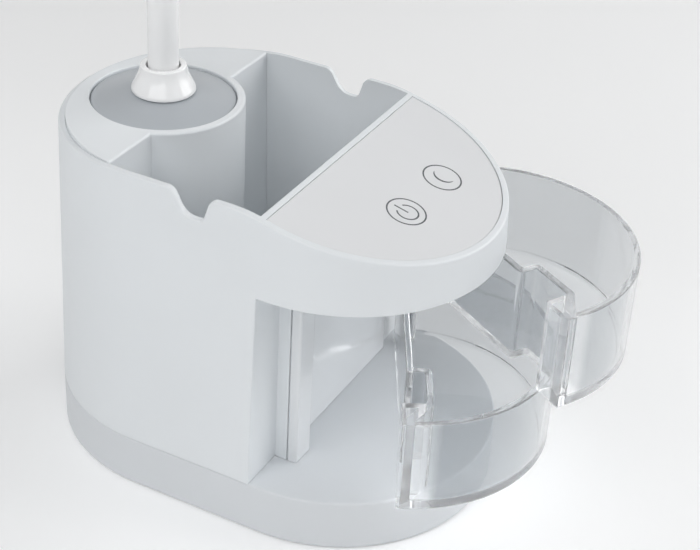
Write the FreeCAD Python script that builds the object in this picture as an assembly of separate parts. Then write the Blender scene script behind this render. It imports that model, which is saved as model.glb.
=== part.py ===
"""Touch lamp on a storage base with a pen pocket and two clear trays that swing out.

Millimetres. The origin is at the middle of the underside. +Z is up, +X points from the
lamp's stem to the trays, and +Y to the side that carries the trays' hinge pin.
"""
import FreeCAD, Part
import math
import os

V = FreeCAD.Vector

# Outer form of the base
half_width = 50.0           # radius of both round ends where the plinth meets the body
end_centre = 22.5           # from the middle to the centre of each round end
body_draft = 2.1            # degrees, all sides lean in towards the top
lamp_end_draft = 1.0        # degrees, the lamp's end stands steeper than the sides
total_height = 108.5        # level deck above the table
plinth_height = 17.4        # deck of the plinth, which is the floor of the bay
head_depth = 26.3           # head over the bay, from the level deck down
bay_face = 19.0             # back of the bay
top_slope = 13.7            # degrees, fall of the touch panel
slope_start = 14.3          # where the fall begins
slope_blend = 45.0          # radius that joins the level top to the slope
wall = 2.0                  # body wall
rim_drop = 1.3              # rim round the lamp end lies this far below the deck
rim_fall_lead = 3.5         # where its fall begins, in front of the pocket's back wall
rim_fall_run = 22.0
rim_fall_blend = 60.0
rim_round = 0.7
bay_edge_round = 0.4
seam_gap = 0.1              # between parts of the casing that only meet

# Plinth
plinth_wall = 2.2
plinth_deck = 2.0
plinth_lift = 0.4           # edge of the plinth above the table
plinth_top_round = 0.8
plinth_foot_round = 0.8
pad_thickness = 1.2
pad_inset = 3.5
cover_thickness = 2.0
cover_gap = 0.2
cover_screw_inset = 9.3     # from the plinth's outer face
cover_screw_turn = 43.5     # degrees from the long axis, round each end
cover_counterbore = 1.0     # left under the cover screws' heads
boss_radius = 3.6
boss_root = 0.2             # overlap of a boss with the wall that carries it
shell_screw_turn = 122.0    # degrees from +X, round the lamp's end
shell_screw_front_x = 11.0
shell_screw_bite = 4.5

# Ballast
ballast_length = 66.0
ballast_width = 62.0
ballast_thickness = 6.5
ballast_centre_x = -11.0
ballast_corner = 9.0
ballast_screw_x = 24.0      # from the middle of the plate
ballast_screw_cover = 0.6   # deck left over the screws' ends

# Pen pocket and tower
pocket_back_reach = 10.5    # front face of the pocket's back wall, from the stem's axis
ridge_lead = 1.0            # front of the ridge behind the touch panel, from the bay's back
ridge_thickness = 1.6
pocket_floor = 26.5
liner_wall = 2.0
deck_edge_round = 0.8
tower_inset = 29.8          # axis of the stem, from the plinth's outer face
tower_radius = 25.0
tower_wall = 2.5
tower_rim_round = 0.4       # edge of the trim disc's seat
disc_edge_drop = 0.8        # edge of the trim disc below the deck
ledge_width = 1.9           # seat of the trim disc
ledge_thickness = 2.0

# Notches in the pocket's side walls
notch_depth = 7.4
notch_back = -9.4
notch_floor_back = -5.3
notch_floor_front = 0.9
notch_front = 3.2
notch_back_lip = 3.5        # radii of the notch's four bends
notch_back_foot = 5.5
notch_front_foot = 2.0
notch_front_lip = 3.0

# Head over the bay and its touch panel
head_floor = 2.0
panel_sink = 0.25
panel_thickness = 1.8
panel_gap = 0.15
panel_ledge = 1.4
panel_boss_length = 6.0
panel_boss_radius = 2.4
board_thickness = 1.6
touch_inset = 26.7          # middle of both touch fields, from the plinth's outer face
touch_y = (-9.9, 13.6)
touch_pad_radius = 5.0
touch_board_length = 34.0
touch_board_inset = 27.0    # long edges of the board, from the plinth's outer face
touch_board_corner = 3.0
touch_screw_x_inset = 6.0   # the board's screws, from its edges
touch_screw_y_inset = 5.0
touch_screw_bite = 4.0

# Stop post beside the trays
post_low_y = -34.0
post_high_y = -25.3
post_rib_depth = 4.0        # rib on the back of the bay
post_cap_depth = 3.5
post_round = 0.8
post_groove_width = 0.45    # round the joint of the cap and the rib
post_groove_depth = 0.7
rib_root = 0.5              # overlap of the rib with the bay's back and ceiling

# Glossy panel on the back of the bay
back_panel_thickness = 1.8
back_panel_end_gap = 6.0    # end of the panel, from the hinge pin's axis
back_panel_round = 1.5

# Clear trays
hinge_setback = 6.0         # pin in front of the bay's back
hinge_inset = 8.0           # pin inside the plinth's outer face
pin_radius = 2.2
pin_head_step = 1.2
pin_head_height = 1.4
pin_boss_wall = 2.0
pin_boss_height = 6.5
pin_bore_depth = 5.0
pin_end_gap = 0.4
knuckle_radius = 3.6
washer_inset = 0.1          # edge of a washer inside the knuckle
running_gap = 0.05
washer_thickness = 0.3
tray_top_gap = 0.8          # over the upper tray
tray_inset = 3.8            # curved wall at the rim, from the plinth's outer face
tray_lead = 0.5             # centre of the curved wall in front of the round end's
tray_draft = 0.3            # degrees
tray_wall = 2.0
tray_floor = 2.4
tray_foot_round = 1.2
tray_inner_bevel = 1.0
tray_step_rounds = (0.8, 2.0, 1.5)  # inside corners of the room beside the post
tray_grip_web = 0.6         # of the room's end wall, kept out of the grip
tray_rim_round = 0.5
tray_back_gap = 0.7         # flat wall in front of the glossy panel
notch_clearance = 0.6       # between the tray's notch and the post
notch_swing_gap = 5.3       # beside the post, for the swing of the notch's corner
notch_round = 1.0
grip_gap = 0.4              # grip in front of the bay's back
grip_round = 0.6
grip_top = 2.0
grip_wall = 1.3
upper_opening = 58.8        # degrees from closed, as the trays stand here
lower_opening = 28.7

# Stem and its mount
stem_radius = 4.7
stem_wall = 1.2
stem_top = 330.0
stem_shoulder_step = 1.8
stem_shoulder_height = 1.5
stem_shoulder_gap = 0.75    # under the collar's spigot
stem_end_length = 2.0       # tube that shows below the nut
press_gap = 0.02            # radial, between pieces of one body that are fixed to each other
collar_height = 8.3
collar_foot_radius = 9.9
collar_foot_edge = 0.8
collar_rest_round = 0.3
collar_foot_round = 2.0
collar_waist_radius = 7.45
collar_waist_height = 5.9
collar_waist_blend = 11.0
collar_neck_radius = 7.0
collar_lip_round = 0.4
collar_gap = 0.55           # round the stem
disc_rise = 3.1
disc_crown_radius = 13.4    # where the disc's two gentle slopes meet
disc_crown_rise = 2.2
disc_crown_blend = 95.0
disc_thickness = 1.6
disc_edge_round = 0.6
disc_gap = 0.25             # groove round the disc
spigot_gap = 0.1
spigot_wall = 1.6
spigot_drop = 4.5
carrier_gap = 0.1
carrier_plate = 3.0
carrier_sleeve_wall = 4.2
carrier_sleeve_up = 5.0
carrier_sleeve_down = 11.0
carrier_screw_bite = 5.0
tower_boss_radius = 4.0
tower_boss_root = 0.4       # overlap of a boss with the tower's wall
tower_boss_length = 14.0
nut_width = 14.0            # across flats
nut_thickness = 5.0
stem_washer_step = 3.6
stem_washer_thickness = 0.8

# Light head
knuckle_socket_wall = 2.3
knuckle_socket_depth = 14.0
knuckle_web = 2.0           # between the tube's end and the fork
wire_hole_radius = 1.5
pivot_rise = 14.0           # tilt axis above the top of the tube
fork_slot = 9.0
fork_cheek = 2.8
fork_radius = 7.0
fork_slot_floor = 10.5      # below the tilt axis, leaves room for the tongue's swing
tilt_pin_radius = 2.0
tilt_pin_head = 3.4
tilt_pin_head_height = 1.4
tilt_washer = 0.3
head_length = 150.0
head_radius = 20.0
head_thickness = 12.0
head_wall = 1.8
head_round = 4.0
head_setback = 14.0         # end of the head in front of the tilt axis
tongue_radius = 6.0
tongue_neck_inset = 1.5     # neck thinner than the head, above and below
tongue_washer_step = 0.5
diffuser_thickness = 2.0
diffuser_gap = 0.15
diffuser_recess = 0.3
diffuser_round = 0.6
led_board_inset = 3.0
led_board_thickness = 1.2
led_board_rise = 5.0        # back of the LED board above the diffuser
led_columns = 12
led_rows = 2
led_pitch = 9.5
led_row_pitch = 12.0
led_length = 3.5
led_width = 2.8
led_height = 0.8
head_screw_x = 48.0         # from the middle of the head
head_screw_bite = 2.3

# Power inlet in the plinth's end
inlet_width = 9.0
inlet_height = 3.3
inlet_depth = 7.3
inlet_wall = 0.35
inlet_back_wall = 1.0
inlet_mouth_inset = 0.6     # mouth inside the plinth's outer face
inlet_axis_z = 9.0
inlet_slot_gap = 0.4
inlet_blade_width = 6.5
inlet_blade_thickness = 0.7
inlet_blade_setback = 1.5
inlet_board_gap = 0.3       # corners of the board inside the plinth's wall
inlet_board_length = 14.0
inlet_board_width = 20.0
inlet_screw_x = 3.0         # behind the socket
inlet_screw_y = 7.0
inlet_screw_bite = 3.4

# Screws
screw_radius = 1.3
screw_head_radius = 2.6
screw_head_height = 1.6
screw_hole_gap = 0.15
screw_bite = 6.0
bore_spare = 0.5            # bore beyond a screw's end
screw_post_wall = 1.2       # round the bore of a small post
root = 0.5                  # overlap of a boss with the plate that carries it


def radius_at(height):
    """Radius of the body's round ends at a height."""
    return half_width - (height - plinth_height) * math.tan(math.radians(body_draft))


def lamp_end_at(height):
    """Centre of the body's round lamp end at a height."""
    lean = math.tan(math.radians(body_draft)) - math.tan(math.radians(lamp_end_draft))
    return -end_centre - (height - plinth_height) * lean


def box(x_low, x_high, y_low, y_high, z_low, z_high):
    """Box from its limits."""
    corner = V(x_low, y_low, z_low)
    return Part.makeBox(x_high - x_low, y_high - y_low, z_high - z_low, corner)


def rod(radius, x, y, z_low, z_high):
    """Upright cylinder."""
    return Part.makeCylinder(radius, z_high - z_low, V(x, y, z_low))


def rounded_wire(corners, place):
    """Closed wire through (u, v, radius) corners, each rounded by its radius."""
    points = [V(u, v, 0) for u, v, radius in corners]
    entries = []
    middles = []
    exits = []
    for index, point in enumerate(points):
        radius = corners[index][2]
        back = (points[index - 1] - point).normalize()
        ahead = (points[(index + 1) % len(points)] - point).normalize()
        if radius == 0:
            entries.append(point)
            middles.append(None)
            exits.append(point)
            continue
        half_angle = back.getAngle(ahead) / 2
        inward = (back + ahead).normalize()
        centre = point + inward * (radius / math.sin(half_angle))
        entries.append(point + back * (radius / math.tan(half_angle)))
        middles.append(centre - inward * radius)
        exits.append(point + ahead * (radius / math.tan(half_angle)))
    edges = []
    for index in range(len(points)):
        start = exits[index - 1]
        finish = entries[index]
        if start.distanceToPoint(finish) > 1e-6:
            edges.append(Part.LineSegment(place(start), place(finish)).toShape())
        if middles[index] is not None:
            arc = Part.Arc(place(finish), place(middles[index]), place(exits[index]))
            edges.append(arc.toShape())
    return Part.Wire(edges)


def plan_prism(corners, z_low, z_high):
    """Upright prism on an (x, y, radius) outline."""
    wire = rounded_wire(corners, lambda p: V(p.x, p.y, z_low))
    return Part.Face(wire).extrude(V(0, 0, z_high - z_low))


def side_prism(corners, y_low, y_high):
    """Prism along Y on an (x, z, radius) outline."""
    wire = rounded_wire(corners, lambda p: V(p.x, y_low, p.y))
    return Part.Face(wire).extrude(V(0, y_high - y_low, 0))


def turned(corners, x, y):
    """Solid of revolution about an upright axis, from an (r, z, radius) outline."""
    wire = rounded_wire(corners, lambda p: V(p.x, 0, p.y))
    solid = Part.Face(wire).revolve(V(0, 0, 0), V(0, 0, 1), 360)
    solid.translate(V(x, y, 0))
    return solid


def rounded_plate(x_middle, length, width, corner, z_low, z_high):
    """Flat plate with round corners, centred on the X axis."""
    x_low = x_middle - length / 2
    x_high = x_middle + length / 2
    outline = [
        (x_low, -width / 2, corner),
        (x_high, -width / 2, corner),
        (x_high, width / 2, corner),
        (x_low, width / 2, corner),
    ]
    return plan_prism(outline, z_low, z_high)


def stadium(radius_low, radius_high, z_low, z_high, reach=end_centre, middle=0.0):
    """Upright solid with two round ends whose radius changes evenly with height."""
    rise = z_high - z_low
    parts = []
    for side in (-1, 1):
        foot = V(middle + side * reach, 0, z_low)
        if abs(radius_low - radius_high) < 1e-9:
            parts.append(Part.makeCylinder(radius_low, rise, foot))
        else:
            parts.append(Part.makeCone(radius_low, radius_high, rise, foot))
    x_low = middle - reach
    section = Part.makePolygon([
        V(x_low, -radius_low, z_low),
        V(x_low, radius_low, z_low),
        V(x_low, radius_high, z_high),
        V(x_low, -radius_high, z_high),
        V(x_low, -radius_low, z_low),
    ])
    parts.append(Part.Face(section).extrude(V(2 * reach, 0, 0)))
    return parts[0].fuse(parts[1:]).removeSplitter()


def body_outline(inset, height):
    """Plan of the drafted body at a height, drawn in by an inset."""
    radius = radius_at(height) - inset
    back = lamp_end_at(height)
    back_arc = Part.Arc(V(back, radius, height), V(back - radius, 0, height),
                        V(back, -radius, height))
    front_arc = Part.Arc(V(end_centre, -radius, height), V(end_centre + radius, 0, height),
                         V(end_centre, radius, height))
    near_side = Part.LineSegment(V(back, -radius, height), V(end_centre, -radius, height))
    far_side = Part.LineSegment(V(end_centre, radius, height), V(back, radius, height))
    outline = [back_arc, near_side, front_arc, far_side]
    return Part.Wire([curve.toShape() for curve in outline])


def body_form(inset, z_low, z_high):
    """Solid of the drafted body, drawn in by an inset."""
    return Part.makeLoft([body_outline(inset, z_low), body_outline(inset, z_high)], True, True)


def round_edges(shape, radius, wanted):
    """Fillet the edges that a test picks out."""
    picked = [edge for edge in shape.Edges if wanted(edge)]
    return shape.makeFillet(radius, picked)


def at_height(height):
    """Test for edges that lie level at a height."""
    def test(edge):
        bounds = edge.BoundBox
        return abs(bounds.ZMin - height) < 1e-3 and abs(bounds.ZMax - height) < 1e-3
    return test


far = half_width + end_centre + 40


def space_above(drop):
    """Everything above the top surface lowered by a drop."""
    top = total_height - drop
    fall = (far - slope_start) * math.tan(math.radians(top_slope))
    outline = [
        (-far, top, 0),
        (slope_start, top, slope_blend),
        (far, top - fall, 0),
        (far, top + far, 0),
        (-far, top + far, 0),
    ]
    return side_prism(outline, -far, far)


def space_below(drop):
    """Everything below the top surface lowered by a drop."""
    top = total_height - drop
    fall = (far - slope_start) * math.tan(math.radians(top_slope))
    outline = [
        (-far, top, 0),
        (-far, -far, 0),
        (far, -far, 0),
        (far, top - fall, 0),
        (slope_start, top, slope_blend),
    ]
    return side_prism(outline, -far, far)


def on_slope(shape):
    """Place a shape made level, with its zero on the top surface, onto the slope."""
    shape.rotate(V(0, 0, 0), V(0, 1, 0), top_slope)
    shape.translate(V(slope_start, 0, total_height))
    return shape


def along_slope(x):
    """Distance down the slope of a point given by its x."""
    return (x - slope_start) / math.cos(math.radians(top_slope))


def screw(x, y, z_seat, length, direction):
    """Screw with its head under (direction 1) or over (direction -1) its seat."""
    shank_end = z_seat + direction * length
    head_end = z_seat - direction * screw_head_height
    shank = rod(screw_radius, x, y, min(z_seat, shank_end), max(z_seat, shank_end))
    head = rod(screw_head_radius, x, y, min(z_seat, head_end), max(z_seat, head_end))
    return shank.fuse(head).removeSplitter()


def corner_points(x, y):
    """Four points that mirror each other in both middle planes."""
    return [(side_x * x, side_y * y) for side_x in (-1, 1) for side_y in (-1, 1)]


# Heights and places that follow from the sizes above
bay_ceiling = total_height - head_depth
cover_low = pad_thickness
cover_high = cover_low + cover_thickness
deck_low = plinth_height - plinth_deck
cover_screw_reach = half_width - cover_screw_inset
cover_screw_x = end_centre + cover_screw_reach * math.cos(math.radians(cover_screw_turn))
cover_screw_y = cover_screw_reach * math.sin(math.radians(cover_screw_turn))
shell_low = plinth_height + seam_gap
inner_radius = radius_at(shell_low) - wall
liner_floor_low = pocket_floor - liner_wall
shell_boss_high = liner_floor_low - seam_gap
shell_screw_reach = inner_radius - boss_radius + boss_root
shell_screws = [
    (-end_centre + shell_screw_reach * math.cos(math.radians(shell_screw_turn)),
     side * shell_screw_reach * math.sin(math.radians(shell_screw_turn)))
    for side in (-1, 1)]
shell_screws += [(shell_screw_front_x, side * shell_screw_reach) for side in (-1, 1)]
tower_x = tower_inset - half_width - end_centre
tower_bore = tower_radius - tower_wall
pocket_back = tower_x + pocket_back_reach
bulkhead_foot = bay_face - wall
ridge_front = bay_face + ridge_lead
bulkhead_top = ridge_front - ridge_thickness
post_seam_x = bay_face + post_rib_depth
post_front_x = post_seam_x + post_cap_depth
hinge_x = bay_face + hinge_setback
hinge_y = half_width - hinge_inset
pin_boss_high = bay_ceiling + pin_boss_height
pin_bore_high = bay_ceiling + pin_bore_depth
tray_centre_x = end_centre + tray_lead
tray_radius = half_width - tray_inset
tray_back_x = bay_face + back_panel_thickness + tray_back_gap
notch_front_x = post_front_x + notch_clearance
notch_inner_y = post_high_y + notch_swing_gap
notch_outer_y = post_low_y - 2 * notch_clearance
grip_x = bay_face + grip_gap
tray_step = washer_thickness + 2 * running_gap
tray_height = (bay_ceiling - plinth_height - tray_top_gap) / 2 - tray_step
lower_tray_low = plinth_height + tray_step
upper_tray_low = lower_tray_low + tray_height + tray_step
disc_seat = total_height - disc_edge_drop - disc_thickness
disc_top = total_height - disc_edge_drop + disc_rise
collar_foot = disc_top
collar_bore = stem_radius + collar_gap
collar_spigot = collar_bore + spigot_wall
shoulder_high = collar_foot - spigot_drop - stem_shoulder_gap
shoulder_low = shoulder_high - stem_shoulder_height
sleeve_high = shoulder_low - running_gap
carrier_high = sleeve_high - carrier_sleeve_up
carrier_low = carrier_high - carrier_plate
sleeve_low = carrier_low - carrier_sleeve_down
carrier_screw_circle = tower_bore - tower_boss_radius + tower_boss_root
stem_washer_low = sleeve_low - running_gap - stem_washer_thickness
stem_nut_low = stem_washer_low - nut_thickness
pivot_z = stem_top + pivot_rise
fork_half = fork_slot / 2 + fork_cheek
touch_x = end_centre + half_width - touch_inset
touch_board_width = 2 * (half_width - touch_board_inset)
head_x_low = tower_x + head_setback
head_middle = head_x_low + head_length / 2
head_reach = head_length / 2 - head_radius
head_low = pivot_z - head_thickness / 2
head_high = pivot_z + head_thickness / 2
diffuser_low = head_low + diffuser_recess
led_board_high = diffuser_low + diffuser_thickness + led_board_rise
led_board_low = led_board_high - led_board_thickness
inlet_front_x = inlet_mouth_inset - end_centre - half_width
inlet_back_x = inlet_front_x + inlet_depth
inlet_screw_at = inlet_back_x + inlet_screw_x
inlet_board_high = inlet_axis_z - inlet_height / 2
inlet_board_low = inlet_board_high - board_thickness


def make_anti_slip_pad():
    pad_radius = half_width - pad_inset
    pad = stadium(pad_radius, pad_radius, 0, pad_thickness)
    windows = [rod(boss_radius, x, y, -1, pad_thickness + 1)
               for x, y in corner_points(cover_screw_x, cover_screw_y)]
    return pad.cut(windows)


def make_bottom_cover():
    cover_radius = half_width - plinth_wall - cover_gap
    cover = stadium(cover_radius, cover_radius, cover_low, cover_high)
    holes = []
    for x, y in corner_points(cover_screw_x, cover_screw_y):
        holes.append(rod(screw_radius + screw_hole_gap, x, y, 0, cover_high + 1))
        holes.append(rod(screw_head_radius + screw_hole_gap, x, y, 0,
                         cover_high - cover_counterbore))
    return cover.cut(holes)


def make_bottom_cover_screws():
    seat = cover_high - cover_counterbore
    return Part.makeCompound([
        screw(x, y, seat, screw_bite, 1)
        for x, y in corner_points(cover_screw_x, cover_screw_y)])


def make_ballast_plate():
    plate = rounded_plate(ballast_centre_x, ballast_length, ballast_width, ballast_corner,
                          deck_low - ballast_thickness, deck_low)
    holes = [rod(screw_radius + screw_hole_gap, ballast_centre_x + side * ballast_screw_x, 0,
                 0, plinth_height) for side in (-1, 1)]
    return plate.cut(holes)


def make_ballast_screws():
    seat = deck_low - ballast_thickness
    length = ballast_thickness + plinth_deck - ballast_screw_cover
    return Part.makeCompound([
        screw(ballast_centre_x + side * ballast_screw_x, 0, seat, length, 1)
        for side in (-1, 1)])


def inlet_slot(gap, x_low, x_high):
    """Oblong prism along X at the power inlet, grown by a gap."""
    half_height = inlet_height / 2 + gap
    half_span = inlet_width / 2 - inlet_height / 2
    outline = [
        (-half_span - half_height, -half_height, half_height),
        (half_span + half_height, -half_height, half_height),
        (half_span + half_height, half_height, half_height),
        (-half_span - half_height, half_height, half_height),
    ]
    wire = rounded_wire(outline, lambda p: V(x_low, p.x, inlet_axis_z + p.y))
    return Part.Face(wire).extrude(V(x_high - x_low, 0, 0))


def make_base_tub():
    outer = stadium(half_width, half_width, plinth_lift, plinth_height)
    outer = round_edges(outer, plinth_top_round, at_height(plinth_height))
    outer = round_edges(outer, plinth_foot_round, at_height(plinth_lift))
    inner_wall = half_width - plinth_wall
    tub = outer.cut(stadium(inner_wall, inner_wall, 0, deck_low))
    bosses = [rod(boss_radius, x, y, cover_high, deck_low)
              for x, y in corner_points(cover_screw_x, cover_screw_y)]
    bosses += [rod(screw_radius + screw_post_wall, inlet_screw_at, side * inlet_screw_y,
                   inlet_board_high, deck_low) for side in (-1, 1)]
    tub = tub.fuse(bosses)
    holes = [rod(screw_radius, x, y, 0, cover_high + screw_bite)
             for x, y in corner_points(cover_screw_x, cover_screw_y)]
    holes += [rod(screw_radius, inlet_screw_at, side * inlet_screw_y, 0,
                  inlet_board_high + inlet_screw_bite + bore_spare) for side in (-1, 1)]
    holes += [rod(screw_radius + screw_hole_gap, x, y, 0, plinth_height + 1)
              for x, y in shell_screws]
    holes += [rod(screw_radius, ballast_centre_x + side * ballast_screw_x, 0, 0,
                  plinth_height - ballast_screw_cover) for side in (-1, 1)]
    holes.append(rod(pin_radius + running_gap, hinge_x, hinge_y, 0, plinth_height + 1))
    holes.append(inlet_slot(inlet_slot_gap, -far, inlet_back_x))
    return tub.cut(holes).removeSplitter()


def make_power_inlet():
    shell = inlet_slot(0, inlet_front_x, inlet_back_x)
    shell = shell.cut(inlet_slot(-inlet_wall, inlet_front_x - 1, inlet_back_x - inlet_back_wall))
    blade = box(inlet_front_x + inlet_blade_setback, inlet_back_x,
                -inlet_blade_width / 2, inlet_blade_width / 2,
                inlet_axis_z - inlet_blade_thickness / 2,
                inlet_axis_z + inlet_blade_thickness / 2)
    return shell.fuse(blade).removeSplitter()


def make_inlet_board():
    reach = half_width - plinth_wall - inlet_board_gap
    x_low = -end_centre - math.sqrt(reach ** 2 - (inlet_board_width / 2) ** 2)
    board = box(x_low, x_low + inlet_board_length, -inlet_board_width / 2,
                inlet_board_width / 2, inlet_board_low, inlet_board_high)
    holes = [rod(screw_radius + screw_hole_gap, inlet_screw_at, side * inlet_screw_y, 0,
                 plinth_height) for side in (-1, 1)]
    return board.cut(holes)


def make_inlet_board_screws():
    return Part.makeCompound([
        screw(inlet_screw_at, side * inlet_screw_y, inlet_board_low,
              board_thickness + inlet_screw_bite, 1) for side in (-1, 1)])


def notch_tool():
    """Prism that cuts the notch through both side walls of the pocket."""
    top = total_height
    floor = top - notch_depth
    back = notch_back - 2 * notch_back_lip
    front = notch_front + 2 * notch_front_lip
    return side_prism([
        (back, top + notch_depth, 0),
        (back, top, 0),
        (notch_back, top, notch_back_lip),
        (notch_floor_back, floor, notch_back_foot),
        (notch_floor_front, floor, notch_front_foot),
        (notch_front, top, notch_front_lip),
        (front, top, 0),
        (front, top + notch_depth, 0),
    ], -far, far)


def make_body_shell():
    form_high = total_height + 2
    shell = body_form(0, shell_low, form_high)
    pocket = body_form(wall, shell_low - 1, form_high + 1)
    bulkhead_side = side_prism([
        (-far, shell_low - 5, 0),
        (bulkhead_foot, shell_low - 5, 0),
        (bulkhead_top, total_height, 0),
        (bulkhead_top, form_high + 5, 0),
        (-far, form_high + 5, 0),
    ], -far, far)
    shell = shell.cut(pocket.common(bulkhead_side))
    shell = shell.cut(box(bay_face, far, -far, far, 0, bay_ceiling))
    in_head = box(ridge_front, far, -far, far, bay_ceiling + head_floor, far * 2)
    seat_drop = panel_sink + panel_thickness
    upper = pocket.common(in_head).cut(space_below(seat_drop))
    narrow = body_form(wall + panel_ledge, shell_low - 1, form_high + 1).common(in_head)
    lower = pocket.common(in_head).cut(space_above(seat_drop + panel_ledge))
    shell = shell.cut(upper).cut(narrow).cut(lower)
    shell = shell.cut(space_above(0))
    shell = shell.cut([rim_fall(), notch_tool()])
    rib = box(bay_face - rib_root, post_seam_x, post_low_y, post_high_y, shell_low,
              bay_ceiling + rib_root)
    bosses = [rod(boss_radius, x, y, shell_low, shell_boss_high) for x, y in shell_screws]
    pin_boss = rod(pin_radius + pin_boss_wall, hinge_x, hinge_y, bay_ceiling, pin_boss_high)
    shell = shell.fuse([rib, pin_boss] + bosses)
    holes = [rod(screw_radius, x, y, shell_low - 1, shell_low + shell_screw_bite + bore_spare)
             for x, y in shell_screws]
    holes.append(rod(pin_radius + running_gap, hinge_x, hinge_y, bay_ceiling - 1,
                     pin_bore_high))
    shell = shell.cut(holes).removeSplitter()
    shell = round_edges(shell, bay_edge_round, on_bay_edge)
    return round_edges(shell, rim_round, on_outer_rim)


def rim_fall():
    """Space over the rim, which falls gently below the deck round the lamp's end."""
    low = total_height - rim_drop
    start = pocket_back + rim_fall_lead
    return side_prism([
        (-far, low, 0),
        (start - rim_fall_run, low, rim_fall_blend),
        (start, total_height, rim_fall_blend),
        (far, total_height, 0),
        (far, total_height + far, 0),
        (-far, total_height + far, 0),
    ], -far, far)


def on_bay_edge(edge):
    """Test for the edges where the body's outer face meets the bay."""
    bounds = edge.BoundBox
    if bounds.ZMax > bay_ceiling + 0.1 or bounds.ZMax < shell_low + 1:
        return False
    return bounds.XMin > bay_face - 0.1 and on_outer_face(edge)


def on_outer_rim(edge):
    """Test for the edges where the body's outer face meets its top and the notches."""
    return edge.BoundBox.ZMin > bay_ceiling + head_floor and on_outer_face(edge)


def on_outer_face(edge):
    """Test for edges that lie in the drafted outer face."""
    for point in edge.discretize(5):
        centre = min(max(point.x, lamp_end_at(point.z)), end_centre)
        reach = math.hypot(point.x - centre, point.y)
        if abs(reach - radius_at(point.z)) > 0.02:
            return False
    return True


def make_body_screws():
    return Part.makeCompound([screw(x, y, deck_low, plinth_deck + shell_screw_bite, 1)
                              for x, y in shell_screws])


def make_pocket_liner():
    inset = wall + seam_gap
    room = body_form(inset, shell_low, total_height)
    deck = room.common(box(-far, pocket_back, -far, far, total_height - liner_wall,
                           total_height))
    back_wall = room.common(box(pocket_back - liner_wall, pocket_back, -far, far,
                                liner_floor_low, total_height))
    floor_front = bulkhead_foot - seam_gap
    floor = room.common(box(pocket_back - liner_wall, floor_front, -far, far,
                            liner_floor_low, pocket_floor))
    tower = rod(tower_radius, tower_x, 0, liner_floor_low, total_height)
    liner = deck.fuse([back_wall, floor, tower]).removeSplitter()
    liner = round_edges(liner, deck_edge_round, on_deck_edge)
    ledge_low = disc_seat - ledge_thickness
    liner = liner.cut([
        rod(tower_bore, tower_x, 0, liner_floor_low - 1, ledge_low),
        rod(tower_bore - ledge_width, tower_x, 0, liner_floor_low - 1, total_height + 1),
        rod(tower_bore, tower_x, 0, disc_seat, total_height + 1),
    ])
    bosses = []
    holes = []
    for x, y in carrier_screw_points():
        bosses.append(rod(tower_boss_radius, x, y, carrier_low - tower_boss_length,
                          carrier_low))
        holes.append(rod(screw_radius, x, y, carrier_low - carrier_screw_bite - bore_spare,
                         carrier_high))
    liner = liner.fuse(bosses).cut(holes).removeSplitter()
    return round_edges(liner, tower_rim_round, on_tower_rim)


def on_deck_edge(edge):
    """Test for the edge of the deck and the tower's top, where they meet the pocket."""
    if not at_height(total_height)(edge):
        return False
    return edge.BoundBox.XMin > pocket_back - 0.1


def on_tower_rim(edge):
    """Test for the edge of the tower's bore at the deck."""
    if not at_height(total_height)(edge):
        return False
    point = edge.discretize(3)[1]
    return abs(math.hypot(point.x - tower_x, point.y) - tower_bore) < 0.01


def carrier_screw_points():
    """Three points round the stem that carry the carrier's screws."""
    points = []
    for turn in (60, 180, 300):
        angle = math.radians(turn)
        points.append((tower_x + carrier_screw_circle * math.cos(angle),
                       carrier_screw_circle * math.sin(angle)))
    return points


def make_bay_back_panel():
    low_y = post_high_y + seam_gap
    high_y = hinge_y - back_panel_end_gap
    front = bay_face + back_panel_thickness
    return plan_prism([
        (bay_face, low_y, 0),
        (front, low_y, 0),
        (front, high_y, back_panel_round),
        (bay_face, high_y, 0),
    ], shell_low, bay_ceiling - seam_gap)


def make_post_cap():
    back = post_seam_x + post_groove_width
    cap = plan_prism([
        (back, post_low_y, 0),
        (post_front_x, post_low_y, post_round),
        (post_front_x, post_high_y, post_round),
        (back, post_high_y, 0),
    ], shell_low, bay_ceiling - seam_gap)
    neck = box(post_seam_x, back + root, post_low_y + post_groove_depth,
               post_high_y - post_groove_depth, shell_low, bay_ceiling - seam_gap)
    return cap.fuse(neck).removeSplitter()


def make_trim_disc():
    edge = tower_bore - disc_gap
    hole = collar_spigot + spigot_gap
    rim_top = disc_seat + disc_thickness
    bend = rim_top + disc_crown_rise
    return turned([
        (edge, disc_seat, 0),
        (edge, rim_top, disc_edge_round),
        (disc_crown_radius, bend, disc_crown_blend),
        (hole, disc_top, 0),
        (hole, disc_top - disc_thickness, 0),
        (disc_crown_radius, bend - disc_thickness, 0),
    ], tower_x, 0)


def make_stem_collar():
    foot = collar_foot
    top = foot + collar_height
    spigot_low = foot - spigot_drop
    return turned([
        (collar_bore, spigot_low, 0),
        (collar_spigot, spigot_low, 0),
        (collar_spigot, foot, 0),
        (collar_foot_radius, foot, collar_rest_round),
        (collar_foot_radius, foot + collar_foot_edge, collar_foot_round),
        (collar_waist_radius, foot + collar_waist_height, collar_waist_blend),
        (collar_neck_radius, top, collar_lip_round),
        (collar_bore, top, collar_lip_round),
    ], tower_x, 0)


def make_stem_carrier():
    plate = rod(tower_bore - carrier_gap, tower_x, 0, carrier_low, carrier_high)
    sleeve = rod(stem_radius + carrier_sleeve_wall, tower_x, 0, sleeve_low, sleeve_high)
    holes = [rod(stem_radius + running_gap, tower_x, 0, sleeve_low - 1, sleeve_high + 1)]
    holes += [rod(screw_radius + screw_hole_gap, x, y, carrier_low - 1, disc_seat)
              for x, y in carrier_screw_points()]
    return plate.fuse(sleeve).cut(holes).removeSplitter()


def make_carrier_screws():
    return Part.makeCompound([
        screw(x, y, carrier_high, carrier_plate + carrier_screw_bite, -1)
        for x, y in carrier_screw_points()])


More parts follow.
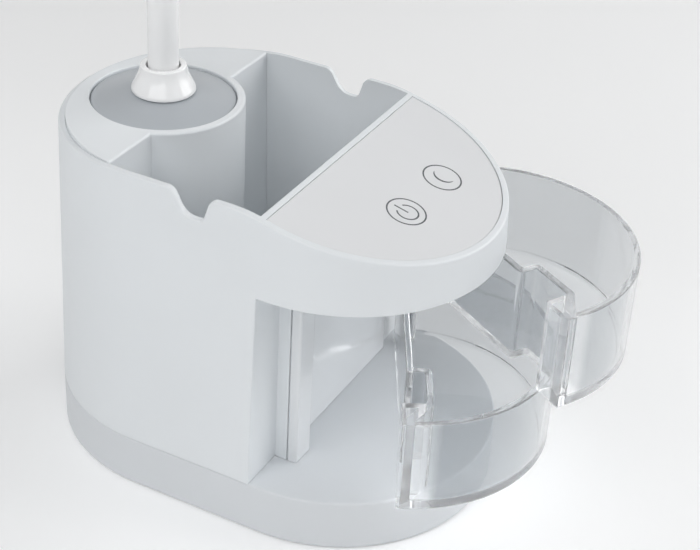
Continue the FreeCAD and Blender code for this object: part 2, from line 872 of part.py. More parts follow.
def make_stem_tube():
    low = stem_nut_low - stem_end_length
    outer = rod(stem_radius, tower_x, 0, low, stem_top)
    shoulder = rod(stem_radius + stem_shoulder_step, tower_x, 0, shoulder_low, shoulder_high)
    bore = rod(stem_radius - stem_wall, tower_x, 0, low - 1, stem_top + 1)
    return outer.fuse(shoulder).cut(bore).removeSplitter()


def make_stem_washer():
    ring = rod(stem_radius + stem_washer_step, tower_x, 0, stem_washer_low,
               stem_washer_low + stem_washer_thickness)
    return ring.cut(rod(stem_radius + running_gap, tower_x, 0, 0, stem_top))


def make_stem_nut():
    corner_radius = nut_width / 2 / math.cos(math.pi / 6)
    corners = []
    for index in range(6):
        angle = math.pi / 3 * index
        corners.append((tower_x + corner_radius * math.cos(angle),
                        corner_radius * math.sin(angle), 0))
    nut = plan_prism(corners, stem_nut_low, stem_washer_low)
    return nut.cut(rod(stem_radius + press_gap, tower_x, 0, 0, stem_top))


def make_control_panel():
    plate = body_form(wall + panel_gap, bay_ceiling, total_height + 2)
    plate = plate.common(box(ridge_front + panel_gap, far, -far, far, bay_ceiling, far * 2))
    plate = plate.cut(space_above(panel_sink))
    plate = plate.cut(space_below(panel_sink + panel_thickness))
    underside = panel_underside()
    bosses = []
    holes = []
    for x, y in touch_screw_points():
        low = underside - panel_boss_length
        bosses.append(on_slope(rod(panel_boss_radius, x, y, low, underside + root)))
        holes.append(on_slope(rod(screw_radius, x, y, low - 1, low + touch_screw_bite
                                  + bore_spare)))
    return plate.fuse(bosses).cut(holes).removeSplitter()


def touch_screw_points():
    """Places of the board's screws, measured down the slope and across."""
    middle = along_slope(touch_x)
    points = corner_points(touch_board_length / 2 - touch_screw_x_inset,
                           touch_board_width / 2 - touch_screw_y_inset)
    return [(middle + x, y) for x, y in points]


def panel_underside():
    """Level of the panel's underside below the top surface, square to the slope."""
    return -(panel_sink + panel_thickness) * math.cos(math.radians(top_slope))


def touch_board_top():
    """Level of the touch board's upper face below the top surface, square to the slope."""
    return panel_underside() - panel_boss_length


def make_touch_board():
    middle = along_slope(touch_x)
    high = touch_board_top()
    board = rounded_plate(middle, touch_board_length, touch_board_width, touch_board_corner,
                          high - board_thickness, high)
    holes = [rod(screw_radius + screw_hole_gap, x, y, high - 2 * board_thickness, high + 1)
             for x, y in touch_screw_points()]
    return on_slope(board.cut(holes))


def make_touch_board_screws():
    seat = touch_board_top() - board_thickness
    return Part.makeCompound([on_slope(screw(x, y, seat, board_thickness + touch_screw_bite, 1))
                              for x, y in touch_screw_points()])


def make_touch_pads():
    middle = along_slope(touch_x)
    low = touch_board_top()
    high = panel_underside()
    return Part.makeCompound([on_slope(rod(touch_pad_radius, middle, y, low, high))
                              for y in touch_y])


def make_hinge_pin():
    shank = rod(pin_radius, hinge_x, hinge_y, deck_low, pin_bore_high - pin_end_gap)
    head = rod(pin_radius + pin_head_step, hinge_x, hinge_y, deck_low - pin_head_height,
               deck_low)
    return shank.fuse(head).removeSplitter()


def make_hinge_washers():
    rings = []
    for top in (lower_tray_low, upper_tray_low):
        high = top - running_gap
        ring = rod(knuckle_radius - washer_inset, hinge_x, hinge_y, high - washer_thickness,
                   high)
        rings.append(ring.cut(rod(pin_radius + running_gap, hinge_x, hinge_y, 0, far * 2)))
    return Part.makeCompound(rings)


def tray_form(low, high):
    """Outer form of a closed tray, with a round front and a notch and a grip beside the post."""
    slope = math.tan(math.radians(tray_draft))
    radius_low = tray_radius - (high - low) * slope
    form = Part.makeCone(radius_low, tray_radius, high - low, V(tray_centre_x, 0, low))
    form = form.common(plan_prism([
        (hinge_x, far, 0),
        (hinge_x, hinge_y, 0),
        (tray_back_x, hinge_y, 0),
        (tray_back_x, notch_inner_y, notch_round),
        (notch_front_x, notch_inner_y, notch_round),
        (notch_front_x, notch_outer_y, notch_round),
        (grip_x, notch_outer_y, grip_round),
        (grip_x, -far, 0),
        (far, -far, 0),
        (far, far, 0),
    ], low - 1, high + 1))
    form = round_edges(form, tray_foot_round, at_height(low))
    return round_edges(form, tray_rim_round, at_height(high))


def tray_room(low, high):
    """Round form of the room in a tray, with a bevel round its floor."""
    slope = math.tan(math.radians(tray_draft))
    radius_high = tray_radius - tray_wall
    radius_low = radius_high - (high - low) * slope
    return turned([
        (0, low, 0),
        (radius_low - tray_inner_bevel, low, 0),
        (radius_low, low + tray_inner_bevel, 0),
        (radius_high, high, 0),
        (0, high, 0),
    ], tray_centre_x, 0)


def drawn_in(triangle, inset):
    """Sharp (x, y, radius) corners of a triangle whose sides are moved in by an inset."""
    sides = [triangle[index - 1].distanceToPoint(triangle[index - 2]) for index in range(3)]
    perimeter = sum(sides)
    middle = V(0, 0, 0)
    for corner, side in zip(triangle, sides):
        middle += corner * (side / perimeter)
    double_area = (triangle[1] - triangle[0]).cross(triangle[2] - triangle[0]).Length
    share = inset * perimeter / double_area
    inner = [corner + (middle - corner) * share for corner in triangle]
    return [(corner.x, corner.y, 0) for corner in inner]


def make_tray(low, opening):
    """Clear tray on the hinge pin, turned out of the bay by an opening angle."""
    high = low + tray_height
    lip_y = -math.sqrt(tray_radius ** 2 - (tray_centre_x - grip_x) ** 2)
    slant = V(grip_x - notch_front_x, lip_y - notch_outer_y, 0).normalize()
    outer = tray_form(low, high)
    room = tray_room(low + tray_floor, high + 1)
    inner_x = tray_back_x + tray_wall
    step_x = notch_front_x + tray_wall
    step_y = notch_inner_y + tray_wall
    end_y = notch_outer_y - tray_grip_web
    room = room.common(plan_prism([
        (inner_x, far, 0),
        (inner_x, step_y, tray_step_rounds[0]),
        (step_x, step_y, tray_step_rounds[1]),
        (step_x, end_y, tray_step_rounds[2]),
        (step_x + slant.x * far, end_y + slant.y * far, 0),
        (far * 3, end_y + slant.y * far, 0),
        (far * 3, far, 0),
    ], low, high + 2))
    knuckle = rod(knuckle_radius, hinge_x, hinge_y, low, high)
    tray = outer.cut(room).fuse(knuckle)
    grip = [V(grip_x, notch_outer_y, 0), V(grip_x, lip_y, 0), V(notch_front_x, notch_outer_y, 0)]
    tray = tray.cut(plan_prism(drawn_in(grip, grip_wall), low - 1, high - grip_top))
    tray = tray.cut(rod(pin_radius + running_gap, hinge_x, hinge_y, low - 1, high + 1))
    tray = tray.removeSplitter()
    tray.rotate(V(hinge_x, hinge_y, 0), V(0, 0, 1), opening)
    return tray


def make_stem_knuckle():
    socket_low = stem_top - knuckle_socket_depth
    socket = rod(stem_radius + knuckle_socket_wall, tower_x, 0, socket_low,
                 stem_top + knuckle_web)
    fork = Part.makeCylinder(fork_radius, 2 * fork_half, V(tower_x, -fork_half, pivot_z),
                             V(0, 1, 0))
    neck = box(tower_x - fork_radius, tower_x + fork_radius, -fork_half, fork_half,
               stem_top, pivot_z)
    knuckle = socket.fuse([fork, neck])
    slot = box(tower_x - far, tower_x + far, -fork_slot / 2, fork_slot / 2,
               pivot_z - fork_slot_floor, far * 5)
    bore = rod(stem_radius + running_gap, tower_x, 0, socket_low - 1, stem_top)
    pin_hole = Part.makeCylinder(tilt_pin_radius + press_gap, 4 * fork_half,
                                 V(tower_x, -2 * fork_half, pivot_z), V(0, 1, 0))
    wire_hole = rod(wire_hole_radius, tower_x, 0, stem_top - 1, pivot_z)
    return knuckle.cut([slot, bore, pin_hole, wire_hole]).removeSplitter()


def make_head_hinge_pin():
    length = 2 * fork_half + tilt_pin_head_height
    shank = Part.makeCylinder(tilt_pin_radius, length, V(tower_x, -fork_half, pivot_z),
                              V(0, 1, 0))
    head = Part.makeCylinder(tilt_pin_head, tilt_pin_head_height,
                             V(tower_x, -fork_half - tilt_pin_head_height, pivot_z),
                             V(0, 1, 0))
    return shank.fuse(head).removeSplitter()


def make_head_washers():
    rings = []
    for side in (-1, 1):
        inner_face = fork_slot / 2 - running_gap
        y_low = inner_face - tilt_washer if side > 0 else -inner_face
        ring = Part.makeCylinder(tongue_radius - tongue_washer_step, tilt_washer,
                                 V(tower_x, y_low, pivot_z), V(0, 1, 0))
        hole = Part.makeCylinder(tilt_pin_radius + running_gap, fork_slot,
                                 V(tower_x, -fork_slot / 2, pivot_z), V(0, 1, 0))
        rings.append(ring.cut(hole))
    return Part.makeCompound(rings)


def make_head_housing():
    outer = stadium(head_radius, head_radius, head_low, head_high, head_reach, head_middle)
    outer = round_edges(outer, head_round, at_height(head_high))
    inner_radius_head = head_radius - head_wall
    inner_high = head_high - head_wall
    inner = stadium(inner_radius_head, inner_radius_head, head_low - 1, inner_high,
                    head_reach, head_middle)
    inner = round_edges(inner, head_round - head_wall, at_height(inner_high))
    half = fork_slot / 2 - tilt_washer - 2 * running_gap
    tongue = Part.makeCylinder(tongue_radius, 2 * half, V(tower_x, -half, pivot_z), V(0, 1, 0))
    neck = box(tower_x, head_x_low + head_wall, -half, half, head_low + tongue_neck_inset,
               head_high - tongue_neck_inset)
    bosses = [rod(screw_radius + screw_post_wall, head_middle + side * head_screw_x, 0,
                  led_board_high, inner_high + root) for side in (-1, 1)]
    housing = outer.cut(inner).fuse([tongue, neck] + bosses)
    holes = [rod(screw_radius, head_middle + side * head_screw_x, 0, head_low,
                 led_board_high + head_screw_bite + bore_spare) for side in (-1, 1)]
    holes.append(Part.makeCylinder(tilt_pin_radius + running_gap, fork_slot,
                                   V(tower_x, -fork_slot / 2, pivot_z), V(0, 1, 0)))
    return housing.cut(holes).removeSplitter()


def make_head_diffuser():
    radius = head_radius - head_wall - diffuser_gap
    plate = stadium(radius, radius, diffuser_low, diffuser_low + diffuser_thickness,
                    head_reach, head_middle)
    return round_edges(plate, diffuser_round, at_height(diffuser_low))


def make_led_board():
    radius = head_radius - led_board_inset
    board = stadium(radius, radius, led_board_low, led_board_high, head_reach, head_middle)
    holes = [rod(screw_radius + screw_hole_gap, head_middle + side * head_screw_x, 0, 0,
                 head_high) for side in (-1, 1)]
    return board.cut(holes)


def make_leds():
    chips = []
    for column in range(led_columns):
        x = head_middle + (column - (led_columns - 1) / 2) * led_pitch
        for row in range(led_rows):
            y = (row - (led_rows - 1) / 2) * led_row_pitch
            chips.append(box(x - led_length / 2, x + led_length / 2, y - led_width / 2,
                             y + led_width / 2, led_board_low - led_height, led_board_low))
    return Part.makeCompound(chips)


def make_head_screws():
    return Part.makeCompound([
        screw(head_middle + side * head_screw_x, 0, led_board_low,
              led_board_thickness + head_screw_bite, 1) for side in (-1, 1)])


def main():
    pieces = {
        "anti_slip_pad": make_anti_slip_pad(),
        "bottom_cover": make_bottom_cover(),
        "bottom_cover_screws": make_bottom_cover_screws(),
        "ballast_plate": make_ballast_plate(),
        "ballast_screws": make_ballast_screws(),
        "base_tub": make_base_tub(),
        "power_inlet": make_power_inlet(),
        "inlet_board": make_inlet_board(),
        "inlet_board_screws": make_inlet_board_screws(),
        "body_shell": make_body_shell(),
        "body_screws": make_body_screws(),
        "pocket_liner": make_pocket_liner(),
        "bay_back_panel": make_bay_back_panel(),
        "post_cap": make_post_cap(),
        "trim_disc": make_trim_disc(),
        "stem_collar": make_stem_collar(),
        "stem_carrier": make_stem_carrier(),
        "carrier_screws": make_carrier_screws(),
        "control_panel": make_control_panel(),
        "touch_board": make_touch_board(),
        "touch_board_screws": make_touch_board_screws(),
        "touch_pads": make_touch_pads(),
        "hinge_pin": make_hinge_pin(),
        "hinge_washers": make_hinge_washers(),
        "lower_drawer": make_tray(lower_tray_low, lower_opening),
        "upper_drawer": make_tray(upper_tray_low, upper_opening),
        "stem_tube": make_stem_tube(),
        "stem_washer": make_stem_washer(),
        "stem_nut": make_stem_nut(),
        "stem_knuckle": make_stem_knuckle(),
        "head_hinge_pin": make_head_hinge_pin(),
        "head_washers": make_head_washers(),
        "head_housing": make_head_housing(),
        "head_diffuser": make_head_diffuser(),
        "led_board": make_led_board(),
        "leds": make_leds(),
        "head_screws": make_head_screws(),
    }
    os.makedirs("parts", exist_ok=True)
    for node, shape in pieces.items():
        shape.exportStep("parts/" + node + ".step")
        print(node, len(shape.Solids), shape.isValid(), round(shape.Volume, 1))


main()
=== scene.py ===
"""Desk lamp with a drawer base: finishes, printed touch symbols and a plain studio.

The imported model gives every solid. This script gives each one its finish, prints the two
touch symbols on the control panel, and sets the floor, the lights and the camera.
"""

import logging
import math
from dataclasses import dataclass, field
from enum import Enum
from typing import Protocol

import bmesh
import bpy
from mathutils import Matrix, Vector


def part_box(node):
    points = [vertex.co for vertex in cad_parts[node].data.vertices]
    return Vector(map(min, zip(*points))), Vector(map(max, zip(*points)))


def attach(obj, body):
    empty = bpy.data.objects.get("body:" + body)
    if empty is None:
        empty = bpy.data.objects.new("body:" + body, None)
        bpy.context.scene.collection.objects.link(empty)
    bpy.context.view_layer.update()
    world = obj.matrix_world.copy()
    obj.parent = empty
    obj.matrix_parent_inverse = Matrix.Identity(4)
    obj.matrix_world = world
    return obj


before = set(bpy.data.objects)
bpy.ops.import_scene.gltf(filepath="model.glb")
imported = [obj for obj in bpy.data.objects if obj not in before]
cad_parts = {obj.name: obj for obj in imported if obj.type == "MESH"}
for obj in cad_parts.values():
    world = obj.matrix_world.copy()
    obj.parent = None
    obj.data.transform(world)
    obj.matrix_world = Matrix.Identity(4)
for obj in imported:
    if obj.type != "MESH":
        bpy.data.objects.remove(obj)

Colour = tuple[float, float, float]
Place = tuple[float, float, float]
LOG = logging.getLogger("desk_lamp")
MM = 0.001
NOISE_LOW, NOISE_HIGH = 0.3, 0.7  # nearly all of a noise factor lies between these
BEVEL_SAMPLES = 6


class Texture(Enum):
    """Surfaces that a mould leaves.

    Attributes:
        swing: How far the roughness varies each way.
        gloss: Weight of the clear gloss over it.
    """

    SPARK = (0.05, 0.0)
    POLISHED = (0.03, 0.6)

    def __init__(self, swing: float, gloss: float) -> None:
        """Name the two values of a texture."""
        self.swing = swing
        self.gloss = gloss


class Graph:
    """The shader nodes of one material, made and wired by short calls."""

    def __init__(self, name: str) -> None:
        """Start an empty material.

        Args:
            name: Name of the material.
        """
        self.material = bpy.data.materials.new(name)
        self.material.use_nodes = True
        self.tree = self.material.node_tree
        self.tree.nodes.clear()
        self.coordinates = self.add("ShaderNodeTexCoord").outputs["Object"]

    def add(self, kind: str, values: dict | None = None, **settings: str | int) -> bpy.types.Node:
        """Add a node.

        Args:
            kind: Blender's node type.
            values: Socket names or numbers, each with a constant or with an output to link.
            **settings: Attributes of the node itself.

        Returns:
            The new node.
        """
        node = self.tree.nodes.new(kind)
        for name, value in settings.items():
            setattr(node, name, value)
        for name, value in (values or {}).items():
            socket = node.inputs[name]
            if isinstance(value, bpy.types.NodeSocket):
                self.tree.links.new(value, socket)
            else:
                socket.default_value = value
        return node

    def noise(self, size: float, detail: float = 2.0, roughness: float = 0.5) -> bpy.types.NodeSocket:
        """Add noise with blotches of a size in metres, and return its factor."""
        values = {"Vector": self.coordinates, "Scale": 1 / size, "Detail": detail, "Roughness": roughness}
        return self.add("ShaderNodeTexNoise", values).outputs["Fac"]

    def between(self, factor: bpy.types.NodeSocket, low: float, high: float) -> bpy.types.NodeSocket:
        """Spread a noise factor from low at its dark blotches to high at its bright ones."""
        return self.span(factor, NOISE_LOW, NOISE_HIGH, low, high, interpolation_type="SMOOTHSTEP")

    def span(self, value: bpy.types.NodeSocket, start: float, end: float, low: float, high: float,
             **settings: str | int) -> bpy.types.NodeSocket:
        """Turn the range from start to end of a value into low to high, and hold it beyond."""
        values = {"Value": value, "From Min": start, "From Max": end, "To Min": low, "To Max": high}
        return self.add("ShaderNodeMapRange", values, **settings).outputs["Result"]

    def tinted(self, factor: bpy.types.NodeSocket, colour: Colour, spread: float) -> bpy.types.NodeSocket:
        """Vary a colour a little lighter and darker.

        Args:
            factor: The noise factor that places the blotches.
            colour: Middle colour, linear.
            spread: Share by which it varies each way.

        Returns:
            The colour's output.
        """
        dark = tuple(channel * (1 - spread) for channel in colour)
        light = tuple(min(channel * (1 + spread), 1) for channel in colour)
        return self.blend(factor, NOISE_LOW, dark, NOISE_HIGH, light)

    def blend(self, factor: bpy.types.NodeSocket, start: float, first: Colour, end: float,
              last: Colour) -> bpy.types.NodeSocket:
        """Blend from one colour to another along a factor.

        Args:
            factor: The factor.
            start: Factor up to which the first colour holds.
            first: First colour, linear.
            end: Factor from which the last colour holds.
            last: Last colour, linear.

        Returns:
            The colour's output.
        """
        ramp = self.add("ShaderNodeValToRGB", {"Fac": factor})
        low, high = ramp.color_ramp.elements
        low.position, high.position = start, end
        low.color, high.color = (*first, 1), (*last, 1)
        return ramp.outputs["Color"]

    def relief(self, height: bpy.types.NodeSocket, depth: float, edge_round: float) -> bpy.types.NodeSocket:
        """Bump over edges that are rounded in the shading.

        Args:
            height: Height factor.
            depth: Height of the bumps, in metres.
            edge_round: Radius of the shaded edges, in metres.

        Returns:
            The normal's output.
        """
        values = {"Height": height, "Distance": depth, "Strength": 1.0}
        if edge_round > 0:
            bevel = self.add("ShaderNodeBevel", {"Radius": edge_round}, samples=BEVEL_SAMPLES)
            values["Normal"] = bevel.outputs["Normal"]
        return self.add("ShaderNodeBump", values).outputs["Normal"]

    def surface(self, values: dict) -> bpy.types.Material:
        """Finish the material with one surface shader.

        Args:
            values: Sockets of the shader.

        Returns:
            The material.
        """
        shader = self.add("ShaderNodeBsdfPrincipled", values)
        self.add("ShaderNodeOutputMaterial", {"Surface": shader.outputs["BSDF"]})
        return self.material


@dataclass(frozen=True)
class Moulded:
    """Coloured plastic as it leaves the mould.

    Attributes:
        name: Name of the finish.
        colour: Linear colour.
        texture: Grain of the mould.
        roughness: Middle roughness.
        edge_round: Radius of its shaded edges, in metres.
        grain: Size of the grain, in metres.
        grain_depth: Depth of the grain, in metres.
        spread: Share by which the colour varies.
        flow: Size of the patches of lighter and darker colour, in metres.
        sheen: Size of the patches of more and less gloss, in metres.
        gloss_roughness: Roughness of the clear gloss over a polished face.
    """

    name: str
    colour: Colour
    texture: Texture = Texture.SPARK
    roughness: float = 0.46
    edge_round: float = 0.35 * MM
    grain: float = 0.25 * MM
    grain_depth: float = 0.004 * MM
    spread: float = 0.012
    flow: float = 38 * MM
    sheen: float = 9 * MM
    gloss_roughness: float = 0.05

    def material(self) -> bpy.types.Material:
        """Build the shader.

        Returns:
            The material.
        """
        graph = Graph(self.name)
        flow = graph.noise(self.flow, detail=3.0)
        sheen = graph.noise(self.sheen)
        grain = graph.noise(self.grain, detail=3.0, roughness=0.7)
        swing = self.texture.swing
        return graph.surface({
            "Base Color": graph.tinted(flow, self.colour, self.spread),
            "Roughness": graph.between(sheen, self.roughness - swing, self.roughness + swing),
            "Normal": graph.relief(grain, self.grain_depth, self.edge_round),
            "IOR": 1.5,
            "Coat Weight": self.texture.gloss,
            "Coat Roughness": self.gloss_roughness,
        })


@dataclass(frozen=True)
class Clear:
    """Clear moulded styrene with faint flow lines and hairline handling marks, its walls tinted grey as
    painted shade and its rims and grip painted near white as a painted highlight.

    Attributes:
        name: Name of the finish.
        grip: Middle of the tray's thick grip in plan, where the painted highlight is centred, in metres.
        painted_shade_tint: Linear colour that a wall lets through, a faint real tint deepened to grey as
            painted shade.
        painted_rim_highlight: Near-white colour where a ray only grazes the wall, as at a rounded rim,
            painted as a highlight.
        clarity: Share of the light that isn't caught by haze.
        roughness: Roughness of the polished faces.
        wear: Shares of the roughness between which the handling marks vary it.
        waviness: Depth of the flow lines, in metres.
        flow: Size of the flow lines, in metres.
        smear: Size of the handling marks, in metres.
        highlight_range: Facing factors between which the wall's painted shade turns into the rim's painted
            highlight.
        grip_highlight_radius: Radius round the grip within which it gets the rim's painted highlight, in
            metres.
    """

    name: str
    grip: tuple[float, float]
    painted_shade_tint: Colour = (0.715, 0.733, 0.748)
    painted_rim_highlight: Colour = (0.97, 0.975, 0.98)
    clarity: float = 0.95
    roughness: float = 0.015
    wear: tuple[float, float] = (0.6, 1.6)
    waviness: float = 0.012 * MM
    flow: float = 16 * MM
    smear: float = 5 * MM
    highlight_range: tuple[float, float] = (0.35, 0.8)
    grip_highlight_radius: float = 12 * MM

    def material(self) -> bpy.types.Material:
        """Build the shader.

        Returns:
            The material.
        """
        graph = Graph(self.name)
        wave = graph.noise(self.flow, detail=1.0)
        smear = graph.noise(self.smear, detail=4.0)
        # Painted highlight: the facing factor and the distance from the grip paint the rims and the grip
        # near white, and the rest of a wall keeps the grey painted shade.
        painted_rim_mask = graph.add("ShaderNodeLayerWeight", {"Blend": 0.5}).outputs["Facing"]
        flat = graph.add("ShaderNodeVectorMath", {0: graph.coordinates, 1: (1, 1, 0)}, operation="MULTIPLY")
        away = graph.add("ShaderNodeVectorMath", {0: flat.outputs["Vector"], 1: (*self.grip, 0)},
                         operation="DISTANCE")
        near = graph.span(away.outputs["Value"], self.grip_highlight_radius / 2, self.grip_highlight_radius, 1.0, 0.0)
        # near and clear give the share of painted highlight, highest at grazing rims and over the grip, not
        # a clearer plastic.
        clear = graph.add("ShaderNodeMath", {0: painted_rim_mask, 1: near}, operation="MAXIMUM")
        start, end = self.highlight_range
        least, most = self.wear
        return graph.surface({
            "Base Color": graph.blend(clear.outputs["Value"], start, self.painted_shade_tint, end, self.painted_rim_highlight),
            "Roughness": graph.between(smear, self.roughness * least, self.roughness * most),
            "Normal": graph.relief(wave, self.waviness, 0),
            "IOR": 1.49,
            "Transmission Weight": self.clarity,
        })


@dataclass(frozen=True)
class Opal:
    """Milky diffuser that scatters light.

    Attributes:
        name: Name of the finish.
        colour: Linear colour.
        spread: Share by which the colour varies.
        edge_round: Radius of its shaded edges, in metres.
        frost: Size of the frosting, in metres.
        frost_depth: Depth of the frosting, in metres.
        scatter: Share of the light that is scattered inside.
        reach: How far that light travels, in metres.
        roughness: Least and most roughness.
        mottle: Size of the patches of lighter and darker colour, in metres.
        sheen: Size of the patches of more and less gloss, in metres.
    """

    name: str
    colour: Colour
    spread: float = 0.01
    edge_round: float = 0.3 * MM
    frost: float = 0.3 * MM
    frost_depth: float = 0.002 * MM
    scatter: float = 0.4
    reach: float = 4 * MM
    roughness: tuple[float, float] = (0.32, 0.4)
    mottle: float = 20 * MM
    sheen: float = 4 * MM

    def material(self) -> bpy.types.Material:
        """Build the shader.

        Returns:
            The material.
        """
        graph = Graph(self.name)
        return graph.surface({
            "Base Color": graph.tinted(graph.noise(self.mottle), self.colour, self.spread),
            "Roughness": graph.between(graph.noise(self.sheen), *self.roughness),
            "Normal": graph.relief(graph.noise(self.frost), self.frost_depth, self.edge_round),
            "Subsurface Weight": self.scatter,
            "Subsurface Radius": (self.reach, self.reach, self.reach),
        })


@dataclass(frozen=True)
class Metal:
    """Bare or plated metal with brushed or rolled marks.

    Attributes:
        name: Name of the finish.
        colour: Linear colour.
        roughness: Middle roughness.
        stretch: How far the marks are drawn out along each axis.
        marks: Size of the marks, in metres.
        mark_depth: Depth of the marks, in metres.
        edge_round: Radius of its shaded edges, in metres.
        spread: Share by which the colour varies.
        mottle: Size of the patches of lighter and darker colour, in metres.
        smoother: How far the roughness falls in the smooth marks.
        rougher: How far it rises in the rough ones.
    """

    name: str
    colour: Colour
    roughness: float = 0.3
    stretch: tuple[float, float, float] = (1.0, 1.0, 1.0)
    marks: float = 0.6 * MM
    mark_depth: float = 0.004 * MM
    edge_round: float = 0.1 * MM
    spread: float = 0.06
    mottle: float = 6 * MM
    smoother: float = 0.08
    rougher: float = 0.1

    def material(self) -> bpy.types.Material:
        """Build the shader.

        Returns:
            The material.
        """
        graph = Graph(self.name)
        stretched = graph.add("ShaderNodeMapping", {"Vector": graph.coordinates, "Scale": self.stretch})
        graph.coordinates = stretched.outputs["Vector"]
        marks = graph.noise(self.marks, detail=4.0, roughness=0.6)
        return graph.surface({
            "Base Color": graph.tinted(graph.noise(self.mottle), self.colour, self.spread),
            "Roughness": graph.between(marks, self.roughness - self.smoother,
                                       self.roughness + self.rougher),
            "Normal": graph.relief(marks, self.mark_depth, self.edge_round),
            "Metallic": 1.0,
        })


@dataclass(frozen=True)
class Painted:
    """Satin enamel on a metal tube.

    Attributes:
        name: Name of the finish.
        colour: Linear colour.
        roughness: Middle roughness.
        peel: Size of the orange peel, in metres.
        peel_depth: Its depth, in metres.
        spread: Share by which the colour varies.
        lacquer: Weight of the clear lacquer.
        lacquer_roughness: Roughness of the lacquer.
        mottle: Size of the patches of lighter and darker colour, in metres.
        sheen: Size of the patches of more and less gloss, in metres.
        smoother: How far the roughness falls in the smooth patches.
        rougher: How far it rises in the rough ones.
    """

    name: str
    colour: Colour
    roughness: float = 0.34
    peel: float = 2.5 * MM
    peel_depth: float = 0.001 * MM
    spread: float = 0.01
    lacquer: float = 0.3
    lacquer_roughness: float = 0.15
    mottle: float = 30 * MM
    sheen: float = 8 * MM
    smoother: float = 0.04
    rougher: float = 0.05

    def material(self) -> bpy.types.Material:
        """Build the shader.

        Returns:
            The material.
        """
        graph = Graph(self.name)
        return graph.surface({
            "Base Color": graph.tinted(graph.noise(self.mottle), self.colour, self.spread),
            "Roughness": graph.between(graph.noise(self.sheen), self.roughness - self.smoother,
                                       self.roughness + self.rougher),
            "Normal": graph.relief(graph.noise(self.peel), self.peel_depth, 0),
            "Coat Weight": self.lacquer,
            "Coat Roughness": self.lacquer_roughness,
        })


@dataclass(frozen=True)
class Soft:
    """Rubber or foam.

    Attributes:
        name: Name of the finish.
        colour: Linear colour.
        pore: Size of the pores, in metres.
        pore_depth: Depth of the pores, in metres.
        edge_round: Radius of its shaded edges, in metres.
        spread: Share by which the colour varies.
        roughness: Least and most roughness.
        sheen: Size of the patches of more and less gloss, in metres.
    """

    name: str
    colour: Colour
    pore: float = 0.4 * MM
    pore_depth: float = 0.03 * MM
    edge_round: float = 0.3 * MM
    spread: float = 0.12
    roughness: tuple[float, float] = (0.75, 0.9)
    sheen: float = 5 * MM

    def material(self) -> bpy.types.Material:
        """Build the shader.

        Returns:
            The material.
        """
        graph = Graph(self.name)
        pores = graph.noise(self.pore, detail=3.0, roughness=0.6)
        return graph.surface({
            "Base Color": graph.tinted(pores, self.colour, self.spread),
            "Roughness": graph.between(graph.noise(self.sheen), *self.roughness),
            "Normal": graph.relief(pores, self.pore_depth, self.edge_round),
        })


@dataclass(frozen=True)
class Laminate:
    """Circuit board: solder mask over woven glass, with tracks in relief.

    Attributes:
        name: Name of the finish.
        colour: Linear colour of the mask.
        track: Linear colour over copper.
        pitch: Distance between tracks, in metres.
        gap: Gap between tracks as a share of the pitch.
        track_height: Height of the tracks, in metres.
        edge_round: Radius of its shaded edges, in metres.
        roughness: Least and most roughness.
        sheen: Size of the patches of more and less gloss, in metres.
    """

    name: str
    colour: Colour
    track: Colour
    pitch: float = 2.2 * MM
    gap: float = 0.09
    track_height: float = 0.02 * MM
    edge_round: float = 0.1 * MM
    roughness: tuple[float, float] = (0.3, 0.42)
    sheen: float = 3 * MM

    def material(self) -> bpy.types.Material:
        """Build the shader.

        Returns:
            The material.
        """
        graph = Graph(self.name)
        cells = graph.add("ShaderNodeTexBrick", {
            "Vector": graph.coordinates, "Scale": 1 / self.pitch, "Color1": (*self.track, 1),
            "Color2": (*self.track, 1), "Mortar": (*self.colour, 1), "Mortar Size": self.gap})
        return graph.surface({
            "Base Color": cells.outputs["Color"],
            "Roughness": graph.between(graph.noise(self.sheen), *self.roughness),
            "Normal": graph.relief(cells.outputs["Fac"], self.track_height, self.edge_round),
        })


@dataclass(frozen=True)
class Ink:
    """Pad-printed ink.

    Attributes:
        name: Name of the finish.
        colour: Linear colour.
        grain: Size of the ink's grain, in metres.
        grain_depth: Depth of the grain, in metres.
        spread: Share by which the colour varies.
        roughness: Least and most roughness.
        sheen: Size of the patches of more and less gloss, in metres.
    """

    name: str
    colour: Colour
    grain: float = 0.12 * MM
    grain_depth: float = 0.002 * MM
    spread: float = 0.08
    roughness: tuple[float, float] = (0.4, 0.55)
    sheen: float = 0.5 * MM

    def material(self) -> bpy.types.Material:
        """Build the shader.

        Returns:
            The material.
        """
        graph = Graph(self.name)
        grain = graph.noise(self.grain, detail=3.0)
        return graph.surface({
            "Base Color": graph.tinted(grain, self.colour, self.spread),
            "Roughness": graph.between(graph.noise(self.sheen), *self.roughness),
            "Normal": graph.relief(grain, self.grain_depth, 0),
        })


